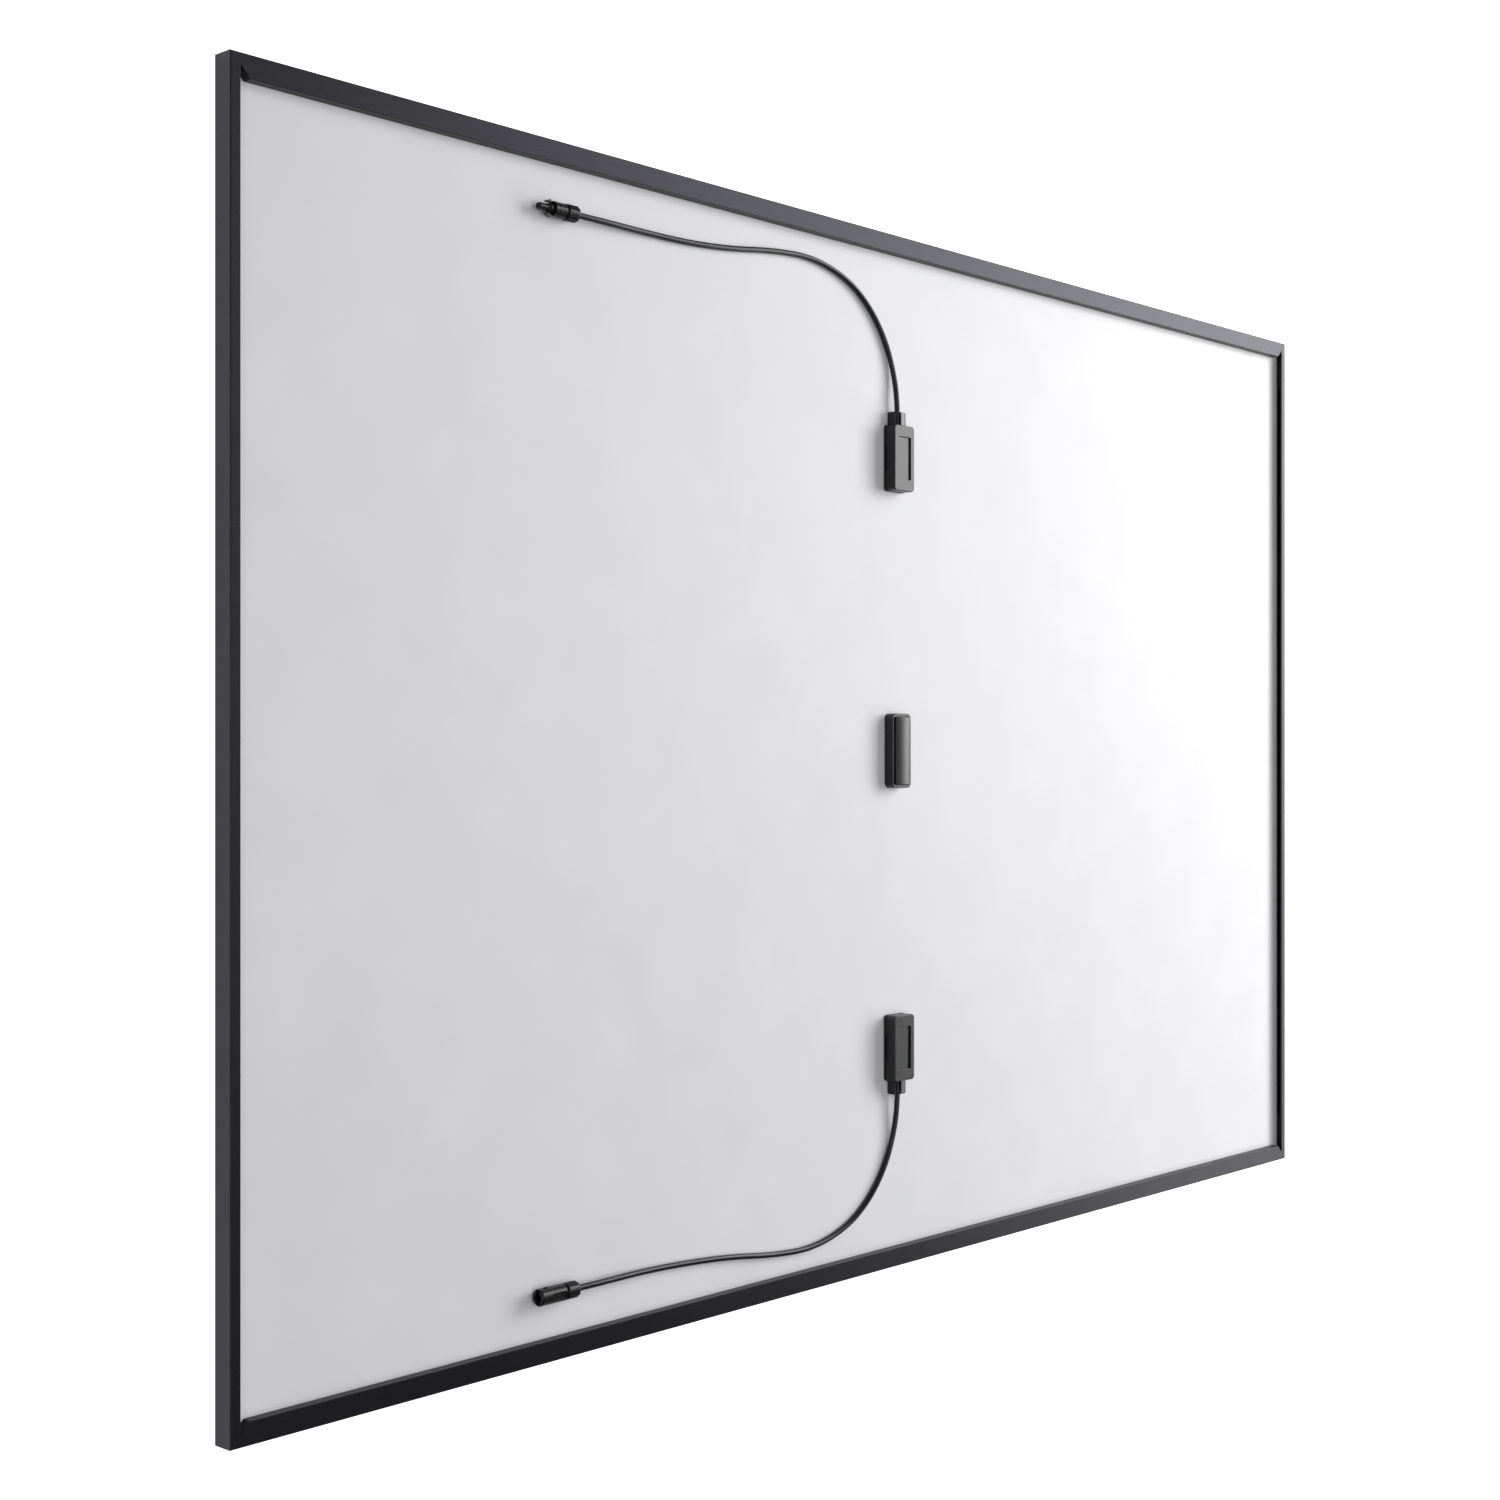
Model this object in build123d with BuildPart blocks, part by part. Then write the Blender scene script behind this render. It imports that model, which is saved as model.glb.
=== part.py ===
"""Framed photovoltaic module, lying face down with its rear side up.

+X runs along the long side, +Y along the short side, +Z out of the rear side.
The origin is the centre of the front lip plane, under the middle of the frame.
"""
import math
import os

from build123d import *

os.makedirs("parts", exist_ok=True)

# Frame
LENGTH = 1722.0            # long side, along X
WIDTH = 1134.0             # short side, along Y
DEPTH = 22.0               # front lip plane to rear flange plane
LONG_RAIL = 20.0           # chamber width of the rails along X
SHORT_RAIL = 10.0          # chamber width of the rails along Y
WALL = 1.6                 # extrusion wall
LIP = 10.0                 # front lip width over the glass
LIP_THICK = 2.5
LEDGE = 4.6                # rear lip of the glazing groove in the open short rails
EDGE = 1.0                 # radius of the outer rear edge
INNER_EDGE = 0.5           # radius of the inner edge of the rear flange
KEY_ARM = 60.0
KEY_GAP = 0.2              # play of the corner key in the chambers
KEY_PLATE = 2.6            # key arm in the open short rails
KEY_RIB = 1.2              # rib that keeps this arm against the web
KEY_RIB_DROP = 3.0

# Laminate, from the front lip to the rear
SEAL_FRONT = 2.1
GLASS = 4.0
FRONT_FILM = 0.8
CELL = 0.2
RIBBON = 0.3
REAR_FILM = 1.0
BACKSHEET = 0.6
SEAL_REAR = 0.5
LAMINATE_INSET = 2.6       # laminate edge from the outer face of the frame

GLASS_Z = LIP_THICK + SEAL_FRONT
FRONT_FILM_Z = GLASS_Z + GLASS
CELL_Z = FRONT_FILM_Z + FRONT_FILM
RIBBON_Z = CELL_Z + CELL
REAR_FILM_Z = RIBBON_Z + RIBBON
BACKSHEET_Z = REAR_FILM_Z + REAR_FILM
BACK = BACKSHEET_Z + BACKSHEET            # rear surface of the backsheet
CHAMBER_Z = BACK + SEAL_REAR              # underside of the frame chamber

# Cells: half cells in six strings of two halves
CELL_LONG = 182.0          # along Y
CELL_SHORT = 91.0          # along X
CELL_GAP = 2.0
STRINGS = 6
CELLS_PER_HALF = 9
CENTRE_GAP = 10.0          # between the two halves, over the bus ribbons
RIBBONS_PER_CELL = 5
RIBBON_WIDTH = 1.0
BUS_WIDTH = 6.0

# Junction boxes
BOX_X = 5.5
UPPER_Y = 322.0
LOWER_Y = -327.0
PAD = 0.8
END_WIDTH = 34.0
END_LENGTH = 72.0
END_TOP = 16.0             # lid top above the backsheet
BOX_CORNER = 4.0
FLANGE_TOP = 2.6           # top of the visible foot of the base
SKIRT_GAP = 0.3
LID_WALL = 1.5
LID_ROOF = 3.8
TRAY_TOP = 11.0
FOOT_RIM = 0.4             # foot beyond the lid, all round
PRY_LENGTH = 28.0
NECK_WIDTH = 18.6
NECK_LENGTH = 15.0
NECK_SIDE = 11.0           # height of the neck sides
NECK_TOP = 12.5            # height of its crown
NECK_SHIFT = -1.6          # neck centre from the box centre, in X
NECK_SLOT = 7.2            # open slot over one side of the lead
SLOT_SHIFT = -4.2          # slot centre from the neck centre, in X
PANEL_WIDTH = 21.5         # recessed panel of the lid
PANEL_LENGTH = 47.0
PANEL_DEPTH = 1.7
PANEL_EDGE = 0.4           # rounding of the panel's rim

MID_WIDTH = 32.0
MID_LENGTH = 82.0
MID_TOP = 12.0             # rim of the middle base
MID_CORNER = 6.0
MID_LEDGE = 3.0            # flat ledge round the domed lid
MID_SHOULDER = 1.8         # side of the dome above the rim
MID_CROWN = 3.6
MID_EDGE = 0.8
MID_GROOVE = 0.6
END_WELL = (27.2, 63.4)    # inside of the end trays, and of the middle one
MID_WELL = (21.0, 71.0)
WELL_CORNER = 1.2
MID_WELL_CORNER = 2.5
POTTING_GAP = 0.4
PAD_MARGIN = 2.0           # bonding pad inside the outline of its box

# Leads and connectors
LEAD = 6.0
LEAD_AXIS = 7.0            # lead axis above the backsheet, in the neck
LEAD_REST = 3.3            # lead axis above the backsheet, lying on it
LEAD_INSIDE = 31.5         # inner end of the lead from the box centre
CONDUCTOR = 2.4
PLUG_AXIS = 8.5            # connector axis above the backsheet
NUT = 15.8                 # cap nut diameter
NUT_LENGTH = 16.0
NUT_REAR_X = -477.7        # lead side face of both cap nuts
PROBE_Y = 502.8
SHELL_Y = -505.2
RIBS = 12
CRIMP_X = NUT_REAR_X - 24.0


def save(part, name):
    """Label one sub-part and write it as its own node."""
    part.label = name
    export_step(part, f"parts/{name}.step")


# ---------------------------------------------------------------- frame rails
def box_profile():
    """Closed section of the long rails: d inward from the outer face, z up."""
    inner = LONG_RAIL - WALL
    outline = [
        (0, 0), (LIP, 0), (LIP, LIP_THICK), (WALL, LIP_THICK), (WALL, CHAMBER_Z),
        (LONG_RAIL, CHAMBER_Z), (LONG_RAIL, DEPTH), (0, DEPTH),
    ]
    hollow = [
        (WALL, CHAMBER_Z + WALL), (inner, CHAMBER_Z + WALL),
        (inner, DEPTH - WALL), (WALL, DEPTH - WALL),
    ]
    return outline, hollow


def channel_profile():
    """Open section of the short rails, with a rib under the flange for the corner key."""
    ledge_top = CHAMBER_Z + WALL
    flange_low = DEPTH - WALL
    rib = WALL + KEY_GAP + KEY_PLATE + 0.4
    return [[
        (0, 0), (LIP, 0), (LIP, LIP_THICK), (WALL, LIP_THICK), (WALL, CHAMBER_Z),
        (LEDGE, CHAMBER_Z), (LEDGE, ledge_top), (WALL, ledge_top), (WALL, flange_low),
        (rib, flange_low), (rib, flange_low - KEY_RIB_DROP),
        (rib + KEY_RIB, flange_low - KEY_RIB_DROP), (rib + KEY_RIB, flange_low),
        (SHORT_RAIL, flange_low), (SHORT_RAIL, DEPTH), (0, DEPTH),
    ]]


def seal_profile(cover):
    """Section of the sealant channel that holds the laminate in the groove."""
    return [[
        (WALL, LIP_THICK), (LIP - 1, LIP_THICK), (LIP - 1, GLASS_Z), (LAMINATE_INSET, GLASS_Z),
        (LAMINATE_INSET, BACK), (cover - 0.5, BACK), (cover - 0.5, CHAMBER_Z), (WALL, CHAMBER_Z),
    ]]


def rail(profiles, along, flange, side, rounds=()):
    """A mitred rail. along is its outer length, side is +1 or -1 across."""
    across = WIDTH if along == LENGTH else LENGTH
    if along == LENGTH:
        plane = Plane((-along / 2, side * across / 2, 0), x_dir=(0, -side, 0), z_dir=(-side, 0, 0))
    else:
        plane = Plane((side * across / 2, along / 2, 0), x_dir=(-side, 0, 0), z_dir=(0, side, 0))
    reach = 2 * flange
    mitre = [
        (-along / 2, side * across / 2), (along / 2, side * across / 2),
        (along / 2 - reach, side * (across / 2 - reach)),
        (-along / 2 + reach, side * (across / 2 - reach)),
    ]
    if along != LENGTH:
        mitre = [(y, x) for x, y in mitre]
    with BuildPart() as piece:
        for index, outline in enumerate(profiles):
            with BuildSketch(plane) as section:
                with BuildLine():
                    Polyline(*outline, close=True)
                make_face()
                if index == 0:
                    for place, radius in rounds:
                        corner = section.vertices().sort_by_distance((*place, 0))[0]
                        fillet(corner, radius)
            extrude(amount=-along * side, mode=Mode.SUBTRACT if index else Mode.ADD)
        with BuildSketch():
            with BuildLine():
                Polyline(*mitre, close=True)
            make_face()
        extrude(amount=DEPTH, mode=Mode.INTERSECT)
    return piece.part


for name, along, side in (
    ("upper", LENGTH, 1), ("lower", LENGTH, -1), ("left", WIDTH, -1), ("right", WIDTH, 1),
):
    long_side = along == LENGTH
    flange = LONG_RAIL if long_side else SHORT_RAIL
    rounds = [((0, DEPTH), EDGE), ((flange, DEPTH), INNER_EDGE), ((0, 0), INNER_EDGE)]
    section_rows = box_profile() if long_side else channel_profile()
    save(rail(section_rows, along, flange, side, rounds), f"{name}_rail")
    cover = LONG_RAIL if long_side else LEDGE
    save(rail(seal_profile(cover), along, flange, side), f"{name}_edge_seal")

with BuildPart() as corner_keys:
    low = WALL + KEY_GAP
    long_in = LONG_RAIL - WALL - KEY_GAP
    short_in = low + KEY_PLATE
    for sx in (-1, 1):
        for sy in (-1, 1):
            with BuildSketch(Plane.XY.offset(CHAMBER_Z + WALL + KEY_GAP)):
                with BuildLine():
                    Polyline(
                        *[
                            (sx * (LENGTH / 2 - a), sy * (WIDTH / 2 - b))
                            for a, b in (
                                (low, low), (KEY_ARM, low), (KEY_ARM, long_in),
                                (long_in + 0.3, long_in), (short_in + 0.3, short_in),
                                (short_in, short_in), (short_in, KEY_ARM), (low, KEY_ARM),
                            )
                        ],
                        close=True,
                    )
                make_face()
            extrude(amount=DEPTH - CHAMBER_Z - 2 * (WALL + KEY_GAP))
save(corner_keys.part, "corner_keys")


# ------------------------------------------------------------------- laminate
SHEET_X = LENGTH - 2 * LAMINATE_INSET
SHEET_Y = WIDTH - 2 * LAMINATE_INSET
SLOT_LENGTH = 12.0         # ribbon slots through the rear film and the backsheet
SLOT_WIDTH = 2.0
TAIL_OFFSET = 18.0         # slots from the box centre, along Y

BOX_CENTRES = [(BOX_X, UPPER_Y), (BOX_X, 0.0), (BOX_X, LOWER_Y)]
SLOTS = [(x, y + step) for x, y in BOX_CENTRES for step in (-TAIL_OFFSET, TAIL_OFFSET)]


def sheet(z_low, thick, slotted=False):
    """One full-size layer of the laminate."""
    with BuildPart() as layer:
        with BuildSketch(Plane.XY.offset(z_low)):
            Rectangle(SHEET_X, SHEET_Y)
            if slotted:
                with Locations(*SLOTS):
                    Rectangle(SLOT_LENGTH, SLOT_WIDTH, mode=Mode.SUBTRACT)
        extrude(amount=thick)
    return layer.part


save(sheet(GLASS_Z, GLASS), "front_glass")
save(sheet(FRONT_FILM_Z, FRONT_FILM), "front_encapsulant")
save(sheet(REAR_FILM_Z, REAR_FILM, slotted=True), "rear_encapsulant")
save(sheet(BACKSHEET_Z, BACKSHEET, slotted=True), "backsheet")

HALF_RUN = CELLS_PER_HALF * (CELL_SHORT + CELL_GAP) - CELL_GAP
HALF_CENTRES = [s * (CENTRE_GAP + HALF_RUN) / 2 for s in (-1, 1)]
STRING_PITCH = CELL_LONG + CELL_GAP

with BuildPart() as solar_cells:
    with Locations(*[(x, 0, CELL_Z) for x in HALF_CENTRES]):
        with GridLocations(CELL_SHORT + CELL_GAP, STRING_PITCH, CELLS_PER_HALF, STRINGS):
            Box(CELL_SHORT, CELL_LONG, CELL, align=(Align.CENTER, Align.CENTER, Align.MIN))
save(solar_cells.part, "solar_cells")

with BuildPart() as cell_ribbons:
    with Locations(*[(x, 0, RIBBON_Z) for x in HALF_CENTRES]):
        with GridLocations(0.1, STRING_PITCH, 1, STRINGS):
            with GridLocations(0.1, CELL_LONG / RIBBONS_PER_CELL, 1, RIBBONS_PER_CELL):
                Box(HALF_RUN, RIBBON_WIDTH, RIBBON, align=(Align.CENTER, Align.CENTER, Align.MIN))
save(cell_ribbons.part, "cell_ribbons")

BUS_LENGTH = STRINGS / 3 * STRING_PITCH - 4 * CELL_GAP
BUS_ENDS = CENTRE_GAP / 2 + HALF_RUN + BUS_WIDTH / 2 + 0.5
with BuildPart() as bus_ribbons:
    with Locations((-BUS_ENDS, 0, CELL_Z), (0, 0, CELL_Z), (BUS_ENDS, 0, CELL_Z)):
        with GridLocations(1, STRINGS / 3 * STRING_PITCH, 1, 3):
            Box(BUS_WIDTH, BUS_LENGTH, CELL, align=(Align.CENTER, Align.CENTER, Align.MIN))
save(bus_ribbons.part, "bus_ribbons")


# ------------------------------------------------------- junction box insides
TERMINAL = (14.0, 9.0, 1.0)
DIODE = (10.0, 13.0, 4.0)
FLOOR = PAD + 1.8
POTTING_TOP = 7.0

with BuildPart() as terminal_plates:
    with Locations(*[(x, y, BACK + FLOOR + 2.0) for x, y in SLOTS]):
        Box(*TERMINAL, align=(Align.CENTER, Align.CENTER, Align.MIN))
    with Locations(*[(x, y, BACKSHEET_Z) for x, y in SLOTS]):
        Box(8, 0.4, FLOOR + BACKSHEET + 2.0, align=(Align.CENTER, Align.CENTER, Align.MIN))
save(terminal_plates.part, "terminal_plates")

with BuildPart() as bypass_diodes:
    with Locations(*[(x, y, BACK + FLOOR + 3.5) for x, y in BOX_CENTRES]):
        Box(*DIODE, align=(Align.CENTER, Align.CENTER, Align.MIN))
    for x, y in BOX_CENTRES:
        for side in (-1, 1):
            with Locations((x, y + side * 10, BACK + FLOOR + 4.0)):
                Box(2, 7.2, 0.6, align=(Align.CENTER, Align.CENTER, Align.MIN))
save(bypass_diodes.part, "bypass_diodes")

with BuildPart() as lead_conductors:
    for y, way in ((UPPER_Y, 1), (LOWER_Y, -1)):
        inner_end = Plane((BOX_X + NECK_SHIFT, y + way * LEAD_INSIDE, BACK + LEAD_AXIS),
                          x_dir=(-way, 0, 0), z_dir=(0, way, 0))
        with BuildSketch(inner_end):
            Circle(CONDUCTOR / 2)
        extrude(amount=TAIL_OFFSET - 2 - LEAD_INSIDE)
save(lead_conductors.part, "lead_conductors")

with BuildPart() as potting:
    for (x, y), (span_x, span_y) in zip(BOX_CENTRES, (END_WELL, MID_WELL, END_WELL)):
        with BuildSketch(Plane((x, y, BACK + FLOOR))):
            RectangleRounded(span_x - POTTING_GAP, span_y - POTTING_GAP, MID_WELL_CORNER)
        extrude(amount=POTTING_TOP - FLOOR)
    add(terminal_plates.part, mode=Mode.SUBTRACT)
    add(bypass_diodes.part, mode=Mode.SUBTRACT)
    add(lead_conductors.part, mode=Mode.SUBTRACT)
save(potting.part, "potting")

with BuildPart() as adhesive_pads:
    end_size = (END_WIDTH, END_LENGTH)
    for (x, y), (span_x, span_y) in zip(BOX_CENTRES, (end_size, (MID_WIDTH, MID_LENGTH), end_size)):
        with BuildSketch(Plane((x, y, BACK))):
            RectangleRounded(span_x - PAD_MARGIN, span_y - PAD_MARGIN, 3)
        extrude(amount=PAD)
    with Locations(*[(x, y, BACK) for x, y in SLOTS]):
        Box(SLOT_LENGTH, SLOT_WIDTH, PAD, align=(Align.CENTER, Align.CENTER, Align.MIN),
            mode=Mode.SUBTRACT)
save(adhesive_pads.part, "adhesive_pads")


# ------------------------------------------------------- end junction boxes
def end_base(centre_y, way):
    """Tray with its foot and the neck that the lead comes out of."""
    neck_x = BOX_X + NECK_SHIFT
    end = centre_y + way * END_LENGTH / 2
    mouth = end + way * NECK_LENGTH
    tray_x = END_WIDTH - 2 * (LID_WALL + SKIRT_GAP)
    tray_y = END_LENGTH - 2 * (LID_WALL + SKIRT_GAP)
    neck_face = Plane((neck_x, mouth, BACK), x_dir=(-way, 0, 0), z_dir=(0, way, 0))
    with BuildPart() as base:
        with BuildSketch(Plane((BOX_X, centre_y, BACK + PAD))):
            RectangleRounded(END_WIDTH + 2 * FOOT_RIM, END_LENGTH + 2 * FOOT_RIM, BOX_CORNER)
        extrude(amount=FLANGE_TOP - PAD)
        with BuildSketch(Plane((BOX_X, centre_y, BACK + FLANGE_TOP))):
            RectangleRounded(tray_x, tray_y, BOX_CORNER - LID_WALL)
        extrude(amount=TRAY_TOP - FLANGE_TOP)
        with BuildSketch(neck_face):
            with BuildLine():
                Polyline((NECK_WIDTH / 2, NECK_SIDE), (NECK_WIDTH / 2, PAD),
                         (-NECK_WIDTH / 2, PAD), (-NECK_WIDTH / 2, NECK_SIDE))
                ThreePointArc((-NECK_WIDTH / 2, NECK_SIDE), (0, NECK_TOP), (NECK_WIDTH / 2, NECK_SIDE))
            make_face()
        extrude(amount=-(NECK_LENGTH + LID_WALL + SKIRT_GAP + 0.1))
        with BuildSketch(Plane((BOX_X, centre_y, BACK + FLOOR))):
            RectangleRounded(*END_WELL, WELL_CORNER)
        extrude(amount=TRAY_TOP, mode=Mode.SUBTRACT)
        with BuildSketch(neck_face):
            with Locations((0, LEAD_AXIS)):
                Circle(LEAD / 2 + 0.3)
        extrude(amount=-(NECK_LENGTH + 8), mode=Mode.SUBTRACT)
        with BuildSketch(neck_face):
            with Locations((0, LEAD_AXIS)):
                Circle(LEAD / 2 + 1.4)
        extrude(amount=-5.0, mode=Mode.SUBTRACT)
        with Locations((neck_x + SLOT_SHIFT, mouth, BACK + LEAD_AXIS)):
            Box(NECK_SLOT, 2 * NECK_LENGTH - 1.0, NECK_TOP, align=(Align.CENTER, Align.CENTER, Align.MIN),
                mode=Mode.SUBTRACT)
        with BuildSketch(Plane.XY.offset(BACK + PAD)):
            with Locations(*[spot for spot in SLOTS if abs(spot[1] - centre_y) < END_LENGTH / 2]):
                Rectangle(SLOT_LENGTH, SLOT_WIDTH)
        extrude(amount=FLOOR - PAD, mode=Mode.SUBTRACT)
    return base.part


def end_lid(centre_y, way):
    """Cap with a skirt, a recessed panel, two pry notches and a notch over the neck."""
    neck_x = BOX_X + NECK_SHIFT
    low = FLANGE_TOP + SKIRT_GAP
    with BuildPart() as lid:
        with BuildSketch(Plane((BOX_X, centre_y, BACK + low))):
            RectangleRounded(END_WIDTH, END_LENGTH, BOX_CORNER)
        extrude(amount=END_TOP - low)
        fillet(lid.faces().sort_by(Axis.Z)[-1].edges(), 0.8)
        with BuildSketch(Plane((BOX_X, centre_y, BACK + low))):
            RectangleRounded(END_WIDTH - 2 * LID_WALL, END_LENGTH - 2 * LID_WALL, BOX_CORNER - LID_WALL)
        extrude(amount=END_TOP - low - LID_ROOF, mode=Mode.SUBTRACT)
        with BuildSketch(Plane((BOX_X, centre_y, BACK + END_TOP - PANEL_DEPTH))):
            RectangleRounded(PANEL_WIDTH, PANEL_LENGTH, 1.2)
        extrude(amount=PANEL_DEPTH, mode=Mode.SUBTRACT)
        fillet(lid.faces().sort_by(Axis.Z)[-1].inner_wires().edges(), PANEL_EDGE)
        with Locations((BOX_X, centre_y, BACK + low)):
            Box(END_WIDTH, PRY_LENGTH, 1.6, align=(Align.CENTER, Align.CENTER, Align.MIN),
                mode=Mode.SUBTRACT)
        with Locations((neck_x, centre_y + way * END_LENGTH / 2, BACK + low)):
            Box(NECK_WIDTH + 0.6, 4 * LID_WALL, NECK_TOP + 0.3 - low,
                align=(Align.CENTER, Align.CENTER, Align.MIN), mode=Mode.SUBTRACT)
    return lid.part


save(end_base(UPPER_Y, 1), "upper_box_base")
save(end_base(LOWER_Y, -1), "lower_box_base")
save(end_lid(UPPER_Y, 1), "upper_box_lid")
save(end_lid(LOWER_Y, -1), "lower_box_lid")

# ------------------------------------------------------- middle junction box
with BuildPart() as middle_base:
    with BuildSketch(Plane((BOX_X, 0, BACK + PAD))):
        RectangleRounded(MID_WIDTH, MID_LENGTH, MID_CORNER)
    extrude(amount=MID_TOP - PAD)
    fillet(middle_base.faces().sort_by(Axis.Z)[-1].edges(), 0.6)
    with BuildSketch(Plane((BOX_X, 0, BACK + MID_TOP - 2.0))):
        RectangleRounded(MID_WIDTH - 2 * MID_LEDGE, MID_LENGTH - 2 * MID_LEDGE, MID_CORNER - MID_LEDGE)
    extrude(amount=2.0, mode=Mode.SUBTRACT)
    with BuildSketch(Plane((BOX_X, 0, BACK + FLOOR))):
        RectangleRounded(*MID_WELL, MID_WELL_CORNER)
    extrude(amount=MID_TOP, mode=Mode.SUBTRACT)
    with BuildSketch(Plane.XY.offset(BACK + PAD)):
        with Locations(*[spot for spot in SLOTS if abs(spot[1]) < MID_LENGTH / 2]):
            Rectangle(SLOT_LENGTH, SLOT_WIDTH)
    extrude(amount=FLOOR - PAD, mode=Mode.SUBTRACT)
save(middle_base.part, "middle_box_base")

MID_LID_WIDTH = MID_WIDTH - 2 * (MID_LEDGE + MID_GROOVE)
MID_LID_LENGTH = MID_LENGTH - 2 * (MID_LEDGE + MID_GROOVE)
MID_SIDE = MID_TOP + MID_SHOULDER
MID_LID_LOW = MID_TOP - 0.8
with BuildPart() as middle_lid:
    with BuildSketch(Plane((BOX_X, MID_LID_LENGTH / 2, BACK), x_dir=(-1, 0, 0), z_dir=(0, 1, 0))):
        with BuildLine():
            half = MID_LID_WIDTH / 2
            Polyline((half, MID_SIDE), (half, MID_LID_LOW), (-half, MID_LID_LOW), (-half, MID_SIDE))
            ThreePointArc((-half, MID_SIDE), (0, MID_TOP + MID_CROWN), (half, MID_SIDE))
        make_face()
    extrude(amount=-MID_LID_LENGTH)
    with BuildSketch(Plane((BOX_X, 0, BACK + MID_LID_LOW))):
        RectangleRounded(MID_LID_WIDTH, MID_LID_LENGTH, MID_CORNER - MID_LEDGE - 0.4)
    extrude(amount=MID_CROWN + 2, mode=Mode.INTERSECT)
    fillet(middle_lid.faces().sort_by(Axis.Z)[-1].edges(), MID_EDGE)
save(middle_lid.part, "middle_box_lid")

# Gaskets lie on the tray rims, under the lids.
GASKET = 1.0
with BuildPart() as lid_gaskets:
    rim_x = END_WIDTH - 2 * (LID_WALL + SKIRT_GAP) - 0.3
    rim_y = END_LENGTH - 2 * (LID_WALL + SKIRT_GAP) - 0.3
    for y in (UPPER_Y, LOWER_Y):
        with BuildSketch(Plane((BOX_X, y, BACK + TRAY_TOP))):
            RectangleRounded(rim_x, rim_y, 2)
            RectangleRounded(rim_x - 2.6, rim_y - 2.6, 1.2, mode=Mode.SUBTRACT)
        extrude(amount=GASKET)
    with BuildSketch(Plane((BOX_X, 0, BACK + MID_TOP - 2.0))):
        RectangleRounded(MID_LID_WIDTH - 0.2, MID_LID_LENGTH - 0.2, MID_CORNER - MID_LEDGE - 0.5)
        RectangleRounded(*MID_WELL, MID_WELL_CORNER, mode=Mode.SUBTRACT)
    extrude(amount=1.0)
save(lid_gaskets.part, "lid_gaskets")


# -------------------------------------------------------------------- leads
def lead_path(side, box_y, plug_y, bulge):
    """Hand-set route from the neck to the connector; side mirrors it in Y."""
    rest = BACK + LEAD_REST
    exit_z = BACK + LEAD_AXIS
    plug_z = BACK + PLUG_AXIS
    neck_x = BOX_X + NECK_SHIFT
    start = abs(box_y) + LEAD_INSIDE
    rows = [
        (neck_x, start, exit_z),
        (neck_x, start + 31, exit_z),
        (0.8, 418 + bulge, exit_z - 3.1),
        (-13.2, 452 + bulge, rest),
        (-40.0, 484 + bulge, rest),
        (-77.4, 508 + bulge, rest),
        (-133.4, 521.5 + bulge, rest),
        (-195.4, 518.5 + bulge, rest),
        (-260.4, 509 + bulge, rest),
        (-322.4, 504.3 + bulge, rest),
        (-384, abs(plug_y) + 0.9, rest + 0.6),
        (-445, abs(plug_y), plug_z),
        (CRIMP_X, abs(plug_y), plug_z),
    ]
    return [Vector(x, side * y, z) for x, y, z in rows]


def corner_radii(points):
    """Largest tangent arc at each corner of a route."""
    radii = []
    for before, here, after in zip(points, points[1:], points[2:]):
        run_in = here - before
        run_out = after - here
        turn = math.radians(run_in.get_angle(run_out))
        radii.append(0.45 * min(run_in.length, run_out.length) / math.tan(turn / 2))
    return radii


def lead(points):
    """Round lead along its route."""
    radii = corner_radii(points)
    with BuildPart() as tube:
        with BuildLine() as path:
            FilletPolyline(*points, radius=radii)
        with BuildSketch(Plane(points[0], z_dir=points[1] - points[0])):
            Circle(LEAD / 2)
        sweep()
    length = sum(edge.length for edge in path.edges())
    print("lead radii", [round(r) for r in radii], "length", round(length, 1),
          "volume ratio", round(tube.part.volume / (math.pi * LEAD**2 / 4 * length), 4))
    return tube.part


save(lead(lead_path(1, UPPER_Y, PROBE_Y, 0.0)), "upper_lead")
save(lead(lead_path(-1, LOWER_Y, SHELL_Y, 4.5)), "lower_lead")

with BuildPart() as neck_grommets:
    for centre_y, way in ((UPPER_Y, 1), (LOWER_Y, -1)):
        mouth = centre_y + way * (END_LENGTH / 2 + NECK_LENGTH)
        face = Plane((BOX_X + NECK_SHIFT, mouth, BACK + LEAD_AXIS), x_dir=(-way, 0, 0), z_dir=(0, way, 0))
        with BuildSketch(face):
            Circle(LEAD / 2 + 1.35)
            Circle(LEAD / 2 + 0.05, mode=Mode.SUBTRACT)
        extrude(amount=-4.8)
save(neck_grommets.part, "neck_grommets")


# --------------------------------------------------------------- connectors
def turned(outline, centre_y, bores=()):
    """A body of revolution about the connector axis; outline rows are (x, radius)."""
    axis = Axis((0, centre_y, BACK + PLUG_AXIS), (1, 0, 0))
    plane = Plane((0, centre_y, BACK + PLUG_AXIS), x_dir=(1, 0, 0), z_dir=(0, -1, 0))
    with BuildPart() as body:
        with BuildSketch(plane):
            with BuildLine():
                Polyline(*outline, close=True)
            make_face()
        revolve(axis=axis)
        for inner in bores:
            with BuildSketch(plane):
                with BuildLine():
                    Polyline(*inner, close=True)
                make_face()
            revolve(axis=axis, mode=Mode.SUBTRACT)
    return body.part


def cylinder_rows(x_low, x_high, radius):
    """Outline rows of a plain cylinder."""
    return [(x_low, 0), (x_high, 0), (x_high, radius), (x_low, radius)]


def ring_rows(x_low, x_high, inner, outer):
    """Outline rows of a plain ring."""
    return [(x_low, inner), (x_high, inner), (x_high, outer), (x_low, outer)]


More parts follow.
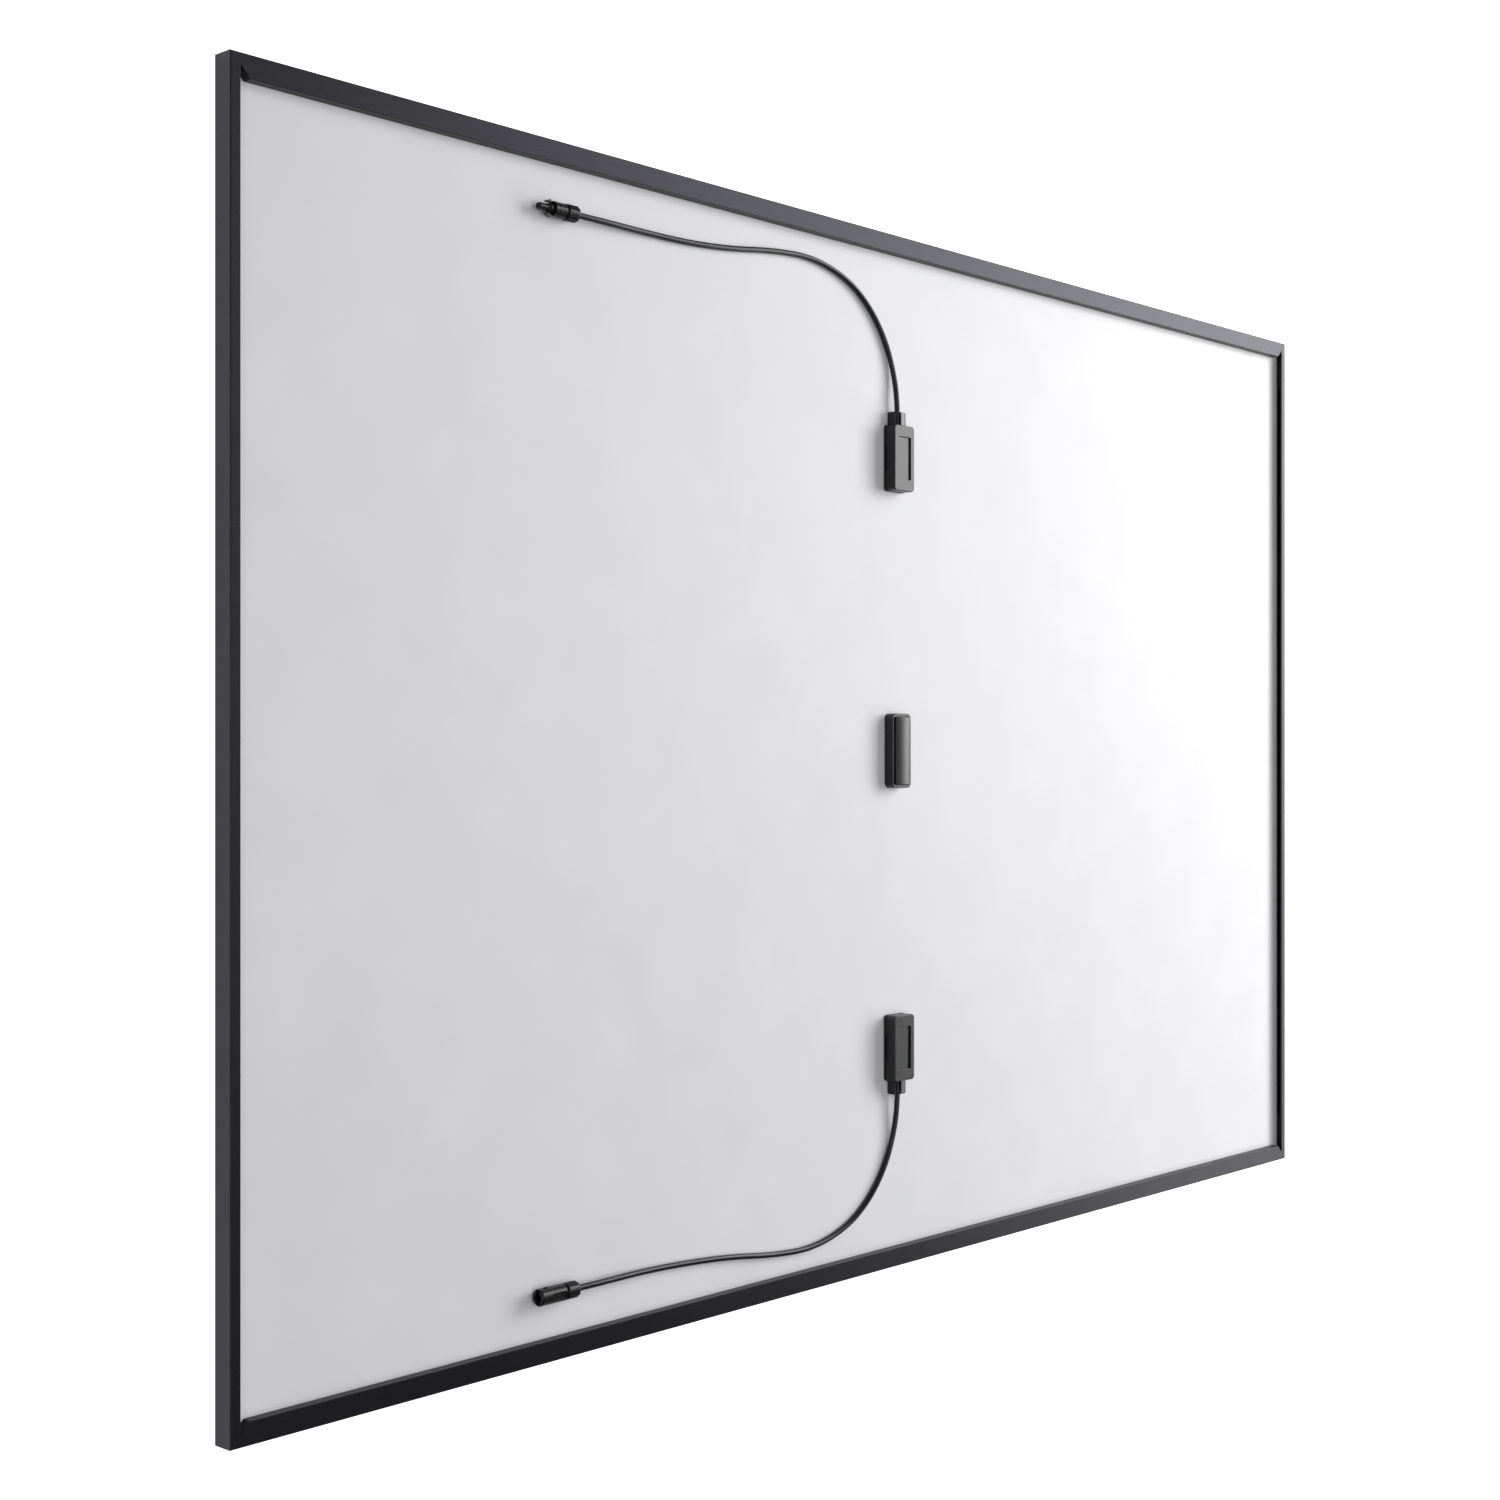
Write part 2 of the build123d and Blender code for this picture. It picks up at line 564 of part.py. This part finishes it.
NUT_FRONT_X = NUT_REAR_X - NUT_LENGTH
SHOULDER_X = NUT_FRONT_X - 2.0
SLEEVE_END_X = NUT_REAR_X - 7.5
SLEEVE = 5.8               # threaded sleeve radius
SLEEVE_BORE = 4.9
NUT_BORE = 6.2
NUT_BASE = NUT / 2 - 0.7   # nut radius between its ribs
FRONT_X = NUT_REAR_X - 38.0
TIP_X = NUT_REAR_X - 49.5  # front end of the nose and of the shell
NOSE = 3.4                 # nose radius
BODY = 7.3                 # body radius of the probe
SHELL = 8.1                # body radius of the shell
CAVITY = 4.6               # radius of the shell's cavity
CONTACT_BORE = 2.1
PIN = 1.1
ARM_ROOT_X = FRONT_X + 11
ARM_TIP_X = FRONT_X - 2
LEAD_BORE = LEAD / 2 + 0.3
HOUSING_BORES = [
    cylinder_rows(SHOULDER_X, SLEEVE_END_X + 1, SLEEVE_BORE),
    cylinder_rows(CRIMP_X - 6, SLEEVE_END_X, LEAD_BORE),
]


def cap_nut(centre_y):
    """Ribbed nut over the threaded sleeve."""
    outline = [
        (NUT_FRONT_X, 0), (NUT_REAR_X, 0), (NUT_REAR_X, 5.0), (NUT_REAR_X - 1.4, 6.6),
        (NUT_REAR_X - 3, NUT_BASE), (NUT_FRONT_X + 1, NUT_BASE), (NUT_FRONT_X, 6.9),
    ]
    rib_plane = Plane((NUT_FRONT_X + 0.8, centre_y, BACK + PLUG_AXIS), x_dir=(0, 1, 0), z_dir=(1, 0, 0))
    with BuildPart() as nut:
        add(turned(outline, centre_y, [
            cylinder_rows(NUT_FRONT_X - 1, NUT_REAR_X - 2.2, NUT_BORE),
            cylinder_rows(NUT_FRONT_X, NUT_REAR_X + 1, LEAD / 2 + 0.4),
        ]))
        with BuildSketch(rib_plane):
            with PolarLocations(NUT / 2 - 0.6, RIBS):
                Rectangle(1.2, 2.0)
        extrude(amount=NUT_LENGTH - 3.6)
    return nut.part


def collet(centre_y):
    """Clamp ring with slots, pressed on the lead by the nut."""
    with BuildPart() as ring:
        add(turned(
            [(SLEEVE_END_X - 5, 0), (NUT_REAR_X - 2.6, 0), (NUT_REAR_X - 2.6, 5.7),
             (NUT_REAR_X - 5.0, 5.7), (NUT_REAR_X - 5.0, 4.6), (SLEEVE_END_X - 5, 4.6)],
            centre_y, [cylinder_rows(SLEEVE_END_X - 6, NUT_REAR_X, LEAD / 2 + 0.06)]))
        with Locations(Location((SLEEVE_END_X - 5, centre_y, BACK + PLUG_AXIS))):
            for turn in (0, 60, 120):
                Box(8, 12, 0.8, rotation=(turn, 0, 0), mode=Mode.SUBTRACT)
    return ring.part


def grommet(centre_y):
    """Rubber seal ring inside the sleeve."""
    return turned(ring_rows(SHOULDER_X + 1, SLEEVE_END_X - 5.3, LEAD / 2 + 0.06, 4.8), centre_y)


# Probe connector: a round nose between two latch arms
probe_outline = [
    (TIP_X, 0), (SLEEVE_END_X, 0), (SLEEVE_END_X, SLEEVE), (SHOULDER_X, SLEEVE),
    (SHOULDER_X, BODY), (FRONT_X + 6, BODY), (FRONT_X + 6, 5.0), (FRONT_X + 2, 5.0),
    (FRONT_X + 2, NOSE), (TIP_X + 0.8, NOSE), (TIP_X, NOSE - 0.6),
]
with BuildPart() as probe_housing:
    add(turned(probe_outline, PROBE_Y, [
        *HOUSING_BORES,
        cylinder_rows(TIP_X - 1, SLEEVE_END_X, CONTACT_BORE),
    ]))
    for side in (-1, 1):
        with Locations((FRONT_X - 1, PROBE_Y + side * 6.5, BACK + PLUG_AXIS)):
            Box(12.6, 4.0, 5.0, align=(Align.MIN, Align.CENTER, Align.CENTER), mode=Mode.SUBTRACT)
    with Locations((SHOULDER_X - 6.5, PROBE_Y, BACK + PLUG_AXIS + BODY)):
        with GridLocations(6.0, 5.0, 2, 2):
            Cylinder(1.2, 2.6, mode=Mode.SUBTRACT)
save(probe_housing.part, "probe_housing")

for name, side in (("upper_latch_arm", 1), ("lower_latch_arm", -1)):
    with BuildPart() as latch_arm:
        with BuildSketch(Plane.XY.offset(BACK + PLUG_AXIS - 2.1)):
            with BuildLine():
                Polyline(*[
                    (x, PROBE_Y + side * y)
                    for x, y in (
                        (ARM_ROOT_X, 5.6), (ARM_ROOT_X, 7.2), (FRONT_X + 3.5, 7.0),
                        (FRONT_X + 2.6, 8.2), (ARM_TIP_X, 6.6), (ARM_TIP_X, 5.6),
                    )
                ], close=True)
            make_face()
        extrude(amount=4.2)
    save(latch_arm.part, name)

save(turned([(TIP_X + 1.2, 0), (CRIMP_X - 0.3, 0), (CRIMP_X - 0.3, 2.6), (CRIMP_X - 5.5, 2.6),
             (CRIMP_X - 5.5, 1.8), (TIP_X + 1.2, 1.8)], PROBE_Y,
            [cylinder_rows(TIP_X, TIP_X + 14, PIN + 0.1)]), "socket_contact")
save(turned(ring_rows(FRONT_X + 0.2, FRONT_X + 1.8, NOSE + 0.05, 4.2), PROBE_Y), "probe_o_ring")

# Shell connector: a round shell with latch windows and a panel on its top and underside
shell_outline = [
    (TIP_X, 0), (SLEEVE_END_X, 0), (SLEEVE_END_X, SLEEVE), (SHOULDER_X, SLEEVE),
    (SHOULDER_X, SHELL - 0.8), (SHOULDER_X - 1, SHELL), (TIP_X + 1, SHELL), (TIP_X, SHELL - 1),
]
PANEL_MID_X = SHOULDER_X - 11.0
with BuildPart() as shell_housing:
    add(turned(shell_outline, SHELL_Y, [
        *HOUSING_BORES,
        cylinder_rows(TIP_X - 1, TIP_X + 17, CAVITY),
        cylinder_rows(TIP_X, SLEEVE_END_X, 1.5),
    ]))
    with Locations((TIP_X - 1, SHELL_Y, BACK + PLUG_AXIS)):
        Box(14, 14.2, 4.8, align=(Align.MIN, Align.CENTER, Align.CENTER), mode=Mode.SUBTRACT)
    with Locations((TIP_X + 5.5, SHELL_Y, BACK + PLUG_AXIS)):
        Box(6, 3 * SHELL, 4.8, align=(Align.MIN, Align.CENTER, Align.CENTER), mode=Mode.SUBTRACT)
    for side in (-1, 1):
        with BuildSketch(Plane((PANEL_MID_X, SHELL_Y, BACK + PLUG_AXIS + side * (SHELL - 1.1)),
                               x_dir=(1, 0, 0), z_dir=(0, 0, side))):
            RectangleRounded(19.0, 6.0, 2.4)
        extrude(amount=3.0, mode=Mode.SUBTRACT)
    with Locations(*[(PANEL_MID_X + x, SHELL_Y, BACK + PLUG_AXIS + SHELL - 1.1) for x in (-1.5, 6.5)]):
        Sphere(1.0)
save(shell_housing.part, "shell_housing")
save(turned([(TIP_X + 4, 0), (CRIMP_X - 0.3, 0), (CRIMP_X - 0.3, 2.6), (CRIMP_X - 5.5, 2.6),
             (CRIMP_X - 5.5, PIN), (TIP_X + 5, PIN), (TIP_X + 4, 0.6)], SHELL_Y), "pin_contact")

for name, centre_y in (("probe", PROBE_Y), ("shell", SHELL_Y)):
    save(cap_nut(centre_y), f"{name}_cap_nut")
    save(collet(centre_y), f"{name}_collet")
    save(grommet(centre_y), f"{name}_grommet")
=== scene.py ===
"""Looks of a framed photovoltaic module that lies face down with its rear side up.

Everything is in metres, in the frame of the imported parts: +X along the long side,
+Y along the short side, +Z out of the rear side.
"""

import bpy
from mathutils import Matrix, Vector


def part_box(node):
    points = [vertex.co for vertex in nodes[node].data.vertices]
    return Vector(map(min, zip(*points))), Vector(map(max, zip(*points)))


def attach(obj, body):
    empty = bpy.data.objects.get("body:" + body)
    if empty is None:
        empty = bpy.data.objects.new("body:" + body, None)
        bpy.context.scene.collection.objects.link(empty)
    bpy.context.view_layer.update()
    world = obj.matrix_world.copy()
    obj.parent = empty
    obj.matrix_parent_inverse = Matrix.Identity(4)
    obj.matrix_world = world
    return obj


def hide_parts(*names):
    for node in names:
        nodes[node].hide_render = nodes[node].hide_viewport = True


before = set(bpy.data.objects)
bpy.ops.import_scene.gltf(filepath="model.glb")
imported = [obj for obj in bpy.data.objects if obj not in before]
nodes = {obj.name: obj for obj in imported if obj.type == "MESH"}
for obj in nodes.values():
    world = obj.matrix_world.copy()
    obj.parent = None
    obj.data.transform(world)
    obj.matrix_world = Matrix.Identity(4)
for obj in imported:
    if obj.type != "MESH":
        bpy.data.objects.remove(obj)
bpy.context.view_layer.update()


# ------------------------------------------------------------------ camera
FULL_FRAME = 36.0                        # sensor width, mm
LENS = 52.06                             # focal length, mm
CAMERA_PLACE = (-1.8675, -0.0021, 1.5184)


def place_camera():
    """A 52 mm lens looking down along the long side, from beyond the left rail."""
    camera = bpy.data.cameras.new("camera")
    camera.sensor_width = FULL_FRAME
    camera.lens = LENS
    camera.shift_y = 0.0018
    camera.clip_start = 0.01
    camera.clip_end = 50.0
    holder = bpy.data.objects.new("camera", camera)
    bpy.context.collection.objects.link(holder)
    right = Vector((0.6769, 0.0, 0.7361))
    up = Vector((0.0, 1.0, 0.0))
    back = Vector((-0.7361, 0.0, 0.6769))
    turn = Matrix((right, up, back)).transposed().to_4x4()
    holder.matrix_world = Matrix.Translation(CAMERA_PLACE) @ turn
    bpy.context.scene.camera = holder


place_camera()


# ------------------------------------------------------------------- leads
LEAD = 0.006
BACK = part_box("backsheet")[1][2]         # rear surface of the backsheet
LEAD_IN_NECK = BACK + 0.0070
LEAD_RESTING = BACK + 0.0033
PLUG_AXIS = BACK + 0.0085
NECK_X = 0.0039

UPPER_ROUTE = [
    (NECK_X, 0.3535, LEAD_IN_NECK),
    (NECK_X, 0.3845, LEAD_IN_NECK),
    (0.0008, 0.4180, LEAD_IN_NECK - 0.0031),
    (-0.0132, 0.4520, LEAD_RESTING),
    (-0.0400, 0.4840, LEAD_RESTING),
    (-0.0774, 0.5080, LEAD_RESTING),
    (-0.1334, 0.5215, LEAD_RESTING),
    (-0.1954, 0.5185, LEAD_RESTING),
    (-0.2604, 0.5090, LEAD_RESTING),
    (-0.3224, 0.5043, LEAD_RESTING),
    (-0.3840, 0.5037, LEAD_RESTING + 0.0006),
    (-0.4450, 0.5028, PLUG_AXIS),
    (-0.5017, 0.5028, PLUG_AXIS),
]
LOWER_ROUTE = [
    (NECK_X, -0.3585, LEAD_IN_NECK),
    (NECK_X, -0.3895, LEAD_IN_NECK),
    (0.0008, -0.4225, LEAD_IN_NECK - 0.0031),
    (-0.0132, -0.4565, LEAD_RESTING),
    (-0.0400, -0.4885, LEAD_RESTING),
    (-0.0774, -0.5125, LEAD_RESTING),
    (-0.1334, -0.5260, LEAD_RESTING),
    (-0.1954, -0.5230, LEAD_RESTING),
    (-0.2604, -0.5135, LEAD_RESTING),
    (-0.3224, -0.5088, LEAD_RESTING),
    (-0.3840, -0.5061, LEAD_RESTING + 0.0006),
    (-0.4450, -0.5052, PLUG_AXIS),
    (-0.5017, -0.5052, PLUG_AXIS),
]


def make_lead(name, route):
    """Round solar lead on one smooth curve."""
    curve = bpy.data.curves.new(name, "CURVE")
    curve.dimensions = "3D"
    curve.bevel_depth = 1.0              # times each point's radius
    curve.bevel_resolution = 6
    curve.resolution_u = 16
    curve.use_fill_caps = True
    spline = curve.splines.new("NURBS")
    spline.points.add(len(route) - 1)
    for point, place in zip(spline.points, route):
        point.co = (*place, 1.0)
        point.radius = LEAD / 2
    spline.order_u = 3
    spline.use_endpoint_u = True
    spline.use_smooth = True
    lead = bpy.data.objects.new(name, curve)
    bpy.context.collection.objects.link(lead)
    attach(lead, "module")
    return lead


upper_lead = make_lead("upper_lead_jacket", UPPER_ROUTE)
lower_lead = make_lead("lower_lead_jacket", LOWER_ROUTE)
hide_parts("upper_lead")
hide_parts("lower_lead")


# --------------------------------------------------------------- materials
MM_PER_M = 1000


def colour(code):
    """Linear colour from an sRGB hex code."""
    parts = [int(code[i:i + 2], 16) / 255 for i in (1, 3, 5)]
    linear = [v / 12.92 if v <= 0.04045 else ((v + 0.055) / 1.055) ** 2.4 for v in parts]
    return (*linear, 1.0)


def node(tree, kind, inputs=None, **settings):
    """Add a node, set its properties, and set or link its inputs."""
    made = tree.nodes.new(kind)
    for name, value in settings.items():
        setattr(made, name, value)
    for socket, value in (inputs or {}).items():
        if isinstance(value, bpy.types.NodeSocket):
            tree.links.new(value, made.inputs[socket])
        else:
            made.inputs[socket].default_value = value
    return made


def new_material(name):
    """A material with an empty tree and its output node."""
    material = bpy.data.materials.new(name)
    material.use_nodes = True
    material.node_tree.nodes.clear()
    return material, material.node_tree


def finish_material(tree, shader):
    """Link the shader to the output."""
    node(tree, "ShaderNodeOutputMaterial", {"Surface": shader.outputs["BSDF"]})


def object_points(tree, stretch=(1, 1, 1)):
    """Object coordinates in millimetres, stretched along a grain."""
    coordinates = node(tree, "ShaderNodeTexCoord")
    scale = [MM_PER_M / s for s in stretch]
    return node(tree, "ShaderNodeMapping", {
        "Vector": coordinates.outputs["Object"], "Scale": scale}).outputs["Vector"]


def spread(tree, factor, low, high, from_low=0.3, from_high=0.7):
    """Map a noise value to a range."""
    return node(tree, "ShaderNodeMapRange", {
        "Value": factor, "From Min": from_low, "From Max": from_high,
        "To Min": low, "To Max": high}).outputs["Result"]


def black_anodised_aluminium(name, grain):
    """Extruded aluminium, etched and dyed black: satin, with faint die lines along the rail."""
    material, tree = new_material(name)
    lines = node(tree, "ShaderNodeTexNoise", {
        "Vector": object_points(tree, grain), "Scale": 1.6, "Detail": 3.0, "Roughness": 0.6})
    etch = node(tree, "ShaderNodeTexNoise", {
        "Vector": object_points(tree), "Scale": 0.9, "Detail": 4.0, "Roughness": 0.7})
    tone = node(tree, "ShaderNodeMix", {
        0: spread(tree, lines.outputs["Fac"], 0.0, 1.0)}, data_type="RGBA")
    tone.inputs[6].default_value = colour("#2b2b30")
    tone.inputs[7].default_value = colour("#323237")
    bump = node(tree, "ShaderNodeBump", {
        "Height": lines.outputs["Fac"], "Distance": 0.00004, "Strength": 0.35})
    fine = node(tree, "ShaderNodeBump", {
        "Height": etch.outputs["Fac"], "Distance": 0.00003, "Strength": 0.25,
        "Normal": bump.outputs["Normal"]})
    shader = node(tree, "ShaderNodeBsdfPrincipled", {
        "Base Color": tone.outputs[2], "Metallic": 1.0,
        "Roughness": spread(tree, etch.outputs["Fac"], 0.38, 0.46),
        "Normal": fine.outputs["Normal"]})
    finish_material(tree, shader)
    return material


def satin_polymer(name, dark, light, roughness, grain_mm, depth, ior=1.5, specular=0.5):
    """Moulded or extruded polymer with a fine spark-eroded grain from its tool."""
    material, tree = new_material(name)
    points = object_points(tree)
    grain = node(tree, "ShaderNodeTexNoise", {
        "Vector": points, "Scale": 1 / grain_mm, "Detail": 3.0, "Roughness": 0.55})
    cloud = node(tree, "ShaderNodeTexNoise", {"Vector": points, "Scale": 0.06, "Detail": 2.0})
    tone = node(tree, "ShaderNodeMix", {
        0: spread(tree, cloud.outputs["Fac"], 0.0, 1.0)}, data_type="RGBA")
    tone.inputs[6].default_value = colour(dark)
    tone.inputs[7].default_value = colour(light)
    bump = node(tree, "ShaderNodeBump", {
        "Height": grain.outputs["Fac"], "Distance": depth, "Strength": 0.5})
    shader = node(tree, "ShaderNodeBsdfPrincipled", {
        "Base Color": tone.outputs[2],
        "Roughness": spread(tree, grain.outputs["Fac"], roughness - 0.03, roughness + 0.04),
        "IOR": ior, "Specular IOR Level": specular, "Normal": bump.outputs["Normal"]})
    finish_material(tree, shader)
    return material


def white_backsheet_film():
    """Laminated fluoropolymer film: white, slightly uneven from the press, soft sheen."""
    material, tree = new_material("white_fluoropolymer_backsheet")
    points = object_points(tree)
    press = node(tree, "ShaderNodeTexNoise", {"Vector": points, "Scale": 0.012, "Detail": 2.0})
    orange_peel = node(tree, "ShaderNodeTexNoise", {
        "Vector": points, "Scale": 0.5, "Detail": 2.0, "Roughness": 0.5})
    tone = node(tree, "ShaderNodeMix", {
        0: spread(tree, press.outputs["Fac"], 0.0, 1.0)}, data_type="RGBA")
    tone.inputs[6].default_value = colour("#e6e6ea")
    tone.inputs[7].default_value = colour("#eaeaed")
    bump = node(tree, "ShaderNodeBump", {
        "Height": orange_peel.outputs["Fac"], "Distance": 0.00005, "Strength": 0.2})
    shader = node(tree, "ShaderNodeBsdfPrincipled", {
        "Base Color": tone.outputs[2],
        "Roughness": spread(tree, orange_peel.outputs["Fac"], 0.46, 0.54),
        "IOR": 1.42, "Normal": bump.outputs["Normal"]})
    finish_material(tree, shader)
    return material


def metal(name, code, roughness, grain_mm):
    """Plated or cast metal with a fine uneven polish."""
    material, tree = new_material(name)
    polish = node(tree, "ShaderNodeTexNoise", {
        "Vector": object_points(tree), "Scale": 1 / grain_mm, "Detail": 3.0})
    bump = node(tree, "ShaderNodeBump", {
        "Height": polish.outputs["Fac"], "Distance": 0.00003, "Strength": 0.3})
    shader = node(tree, "ShaderNodeBsdfPrincipled", {
        "Base Color": colour(code), "Metallic": 1.0,
        "Roughness": spread(tree, polish.outputs["Fac"], roughness - 0.05, roughness + 0.05),
        "Normal": bump.outputs["Normal"]})
    finish_material(tree, shader)
    return material


def low_iron_glass():
    """Rolled solar glass, clear with a fine stipple."""
    material, tree = new_material("rolled_low_iron_glass")
    stipple = node(tree, "ShaderNodeTexNoise", {
        "Vector": object_points(tree), "Scale": 0.8, "Detail": 1.0})
    bump = node(tree, "ShaderNodeBump", {
        "Height": stipple.outputs["Fac"], "Distance": 0.00005, "Strength": 0.3})
    shader = node(tree, "ShaderNodeBsdfPrincipled", {
        "Base Color": colour("#f2f7f5"), "Roughness": 0.12, "IOR": 1.52,
        "Transmission Weight": 1.0, "Normal": bump.outputs["Normal"]})
    finish_material(tree, shader)
    return material


# The die lines run along each rail, so the long and the short rails differ in grain.
rail_x = black_anodised_aluminium("black_anodised_aluminium_long", (60, 1, 1))
rail_y = black_anodised_aluminium("black_anodised_aluminium_short", (1, 60, 1))
backsheet_film = white_backsheet_film()
# Injection-moulded plastics: near black with a fine grain, the plugs a little glossier.
box_plastic = satin_polymer(
    "moulded_black_ppo", "#0e0e11", "#131316", 0.36, 0.35, 0.00003)
plug_plastic = satin_polymer(
    "moulded_black_polyamide", "#0b0b0d", "#101012", 0.30, 0.30, 0.00002, 1.5, 0.42)
# Extruded lead jacket: smooth and black, with a narrow highlight along it.
jacket = satin_polymer(
    "extruded_crosslinked_jacket", "#0b0b0d", "#101012", 0.33, 0.6, 0.00002, 1.5, 0.42)
# Rubber and silicones: dull and slightly greyer where moulded, glossier where poured.
seal_rubber = satin_polymer(
    "moulded_epdm_rubber", "#232326", "#2b2b2e", 0.62, 0.25, 0.00004)
edge_silicone = satin_polymer(
    "cured_black_silicone", "#1e1e21", "#28282b", 0.45, 1.2, 0.00006, 1.41)
bonding_silicone = satin_polymer(
    "cured_white_silicone", "#cfcfcb", "#dadad6", 0.5, 1.2, 0.00006, 1.41)
potting_silicone = satin_polymer(
    "poured_white_silicone", "#dcdcd8", "#e6e6e2", 0.3, 2.0, 0.00003, 1.41)
# Laminate layers that show only at the slots and edges.
clear_film = satin_polymer(
    "laminated_clear_encapsulant", "#eeeeec", "#f4f4f2", 0.3, 1.0, 0.00002, 1.48)
cell_silicon = satin_polymer(
    "coated_silicon_wafer", "#0d1324", "#121a30", 0.25, 0.5, 0.00001, 2.0)
# Parts inside the boxes and the plugs: matt epoxy, dull cast metal, bright tin.
diode_epoxy = satin_polymer(
    "moulded_epoxy", "#1c1c1e", "#242427", 0.5, 0.2, 0.00003)
key_metal = metal("die_cast_dark_aluminium", "#2e2e31", 0.5, 0.6)
ribbon_metal = metal("tinned_copper_ribbon", "#c3c5c8", 0.3, 0.5)
contact_metal = metal("tin_plated_copper", "#cfcabf", 0.28, 0.4)
solar_glass = low_iron_glass()

FINISHES = {
    rail_x: ["upper_rail", "lower_rail"],
    rail_y: ["left_rail", "right_rail"],
    key_metal: ["corner_keys"],
    edge_silicone: ["upper_edge_seal", "lower_edge_seal", "left_edge_seal", "right_edge_seal"],
    solar_glass: ["front_glass"],
    clear_film: ["front_encapsulant", "rear_encapsulant"],
    cell_silicon: ["solar_cells"],
    ribbon_metal: ["cell_ribbons", "bus_ribbons"],
    backsheet_film: ["backsheet"],
    box_plastic: [
        "upper_box_base", "lower_box_base", "middle_box_base",
        "upper_box_lid", "lower_box_lid", "middle_box_lid"],
    seal_rubber: [
        "lid_gaskets", "neck_grommets", "probe_grommet", "shell_grommet", "probe_o_ring"],
    bonding_silicone: ["adhesive_pads"],
    potting_silicone: ["potting"],
    diode_epoxy: ["bypass_diodes"],
    contact_metal: ["terminal_plates", "lead_conductors", "socket_contact", "pin_contact"],
    plug_plastic: [
        "probe_housing", "shell_housing", "probe_cap_nut", "shell_cap_nut",
        "probe_collet", "shell_collet", "upper_latch_arm", "lower_latch_arm"],
    jacket: ["upper_lead", "lower_lead"],
}
for finish, names in FINISHES.items():
    for name in names:
        for slot in nodes[name].material_slots:
            slot.material = finish
for lead in (upper_lead, lower_lead):
    lead.data.materials.append(jacket)


# ---------------------------------------------------------- floor and light
def make_floor():
    """Plain white studio floor."""
    bpy.ops.object.select_all(action="DESELECT")
    bpy.ops.mesh.primitive_plane_add(size=30.0, location=(0, 0, 0))
    floor = bpy.context.object
    floor.name = "studio_floor"
    material, tree = new_material("matt_white_floor_paint")
    shader = node(tree, "ShaderNodeBsdfPrincipled", {
        "Base Color": colour("#f6f6f6"), "Roughness": 0.9,
        "Emission Color": (1, 1, 1, 1), "Emission Strength": 1.0})
    finish_material(tree, shader)
    floor.data.materials.append(material)


def softbox(name, place, aim, width, height, power):
    """Large soft rectangular light aimed at a point."""
    light = bpy.data.lights.new(name, "AREA")
    light.shape = "RECTANGLE"
    light.size = width
    light.size_y = height
    light.energy = power
    holder = bpy.data.objects.new(name, light)
    bpy.context.collection.objects.link(holder)
    holder.location = place
    holder.rotation_euler = (Vector(aim) - Vector(place)).to_track_quat("-Z", "Y").to_euler()


make_floor()
softbox("side_softbox", (3.2, 1.35, 2.2), (0, 0, 0), 3.0, 2.4, 122.0)
softbox("low_strip", (3.0, 0.0, 1.3), (0, 0, 0), 3.0, 0.8, 42.0)
softbox("overhead_softbox", (-0.9, -0.4, 3.2), (-0.4, -0.1, 0), 3.0, 3.0, 38.0)
softbox("camera_side_strip", (-3.2, 0.3, 2.2), (0, 0, 0), 2.0, 0.12, 8.0)

WORLD_STRENGTH = 0.10
world = bpy.data.worlds.new("studio")
bpy.context.scene.world = world
world.use_nodes = True
world.node_tree.nodes["Background"].inputs["Color"].default_value = (1, 1, 1, 1)
world.node_tree.nodes["Background"].inputs["Strength"].default_value = WORLD_STRENGTH

scene = bpy.context.scene
scene.view_settings.view_transform = "Standard"
scene.view_settings.look = "None"
